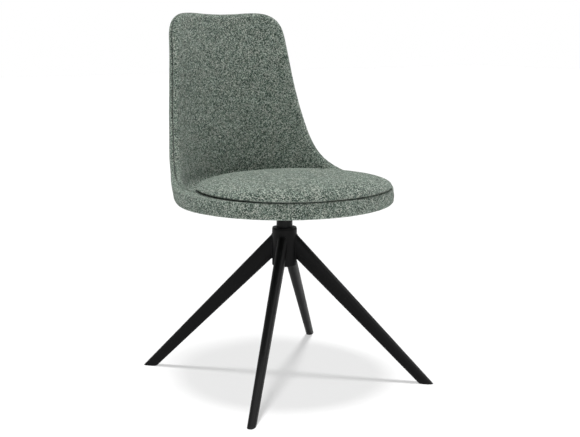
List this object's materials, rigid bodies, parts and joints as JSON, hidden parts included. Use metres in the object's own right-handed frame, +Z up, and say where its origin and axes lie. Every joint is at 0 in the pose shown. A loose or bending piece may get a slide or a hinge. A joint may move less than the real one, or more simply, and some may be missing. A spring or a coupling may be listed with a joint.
{
  "type": "swivel dining chair",
  "caption": "Armless dining chair: upholstered one-piece shell with a round cushion, swivelling on a short column over four splayed tapered legs.",
  "frame": {"origin": "on the floor, under the middle of the whole chair's bounding box", "axes": "+Z up, -Y towards the front of the seat at rest, +X to the right as seen from the front; left and right in names are as seen from the front"},
  "size_m": [0.4878, 0.5374, 0.8192],
  "materials": {
    "black_powder_coat": "satin",
    "black_plastic": "matte",
    "zinc_plated_steel": "satin",
    "polished_steel": "polished",
    "cage_plastic": "matte",
    "plywood": "matte",
    "woven_upholstery": "matte"
  },
  "bodies": {
    "base": {"hub_tube": "black_powder_coat", "leg_front_left": "black_powder_coat", "leg_front_right": "black_powder_coat", "leg_rear_left": "black_powder_coat", "leg_rear_right": "black_powder_coat", "glide_front_left": "black_plastic", "glide_front_right": "black_plastic", "glide_rear_left": "black_plastic", "glide_rear_right": "black_plastic", "upper_bush": "black_plastic", "lower_bush": "black_plastic", "hub_floor": "zinc_plated_steel", "bearing_lower_race": "polished_steel", "hub_cap": "black_plastic"},
    "ball_cage": {"bearing_cage": "cage_plastic", "bearing_balls": "polished_steel"},
    "seat": {"spindle": "black_powder_coat", "bearing_upper_race": "polished_steel", "retaining_washer": "zinc_plated_steel", "retaining_clip": "zinc_plated_steel", "mounting_plate": "black_powder_coat", "plate_bolts": "zinc_plated_steel", "plate_washers": "zinc_plated_steel", "tee_nuts": "zinc_plated_steel", "shell_core": "plywood", "outer_pad": "woven_upholstery", "inner_pad": "woven_upholstery", "cushion_board": "plywood", "seat_cushion": "woven_upholstery", "cushion_screws": "zinc_plated_steel"}
  },
  "joints": [
    {"name": "seat_swivel", "type": "hinge", "parent": "base", "child": "seat", "pos_m": [0, -0.02516, 0.281], "axis": [0, 0, 1], "continuous": true},
    {"name": "cage_roll", "type": "hinge", "parent": "base", "child": "ball_cage", "pos_m": [0, -0.02516, 0.276], "axis": [0, 0, 1], "continuous": true}
  ],
  "couplings": [
    {"joint": "cage_roll", "follows": "seat_swivel", "ratio": 0.5}
  ]
}
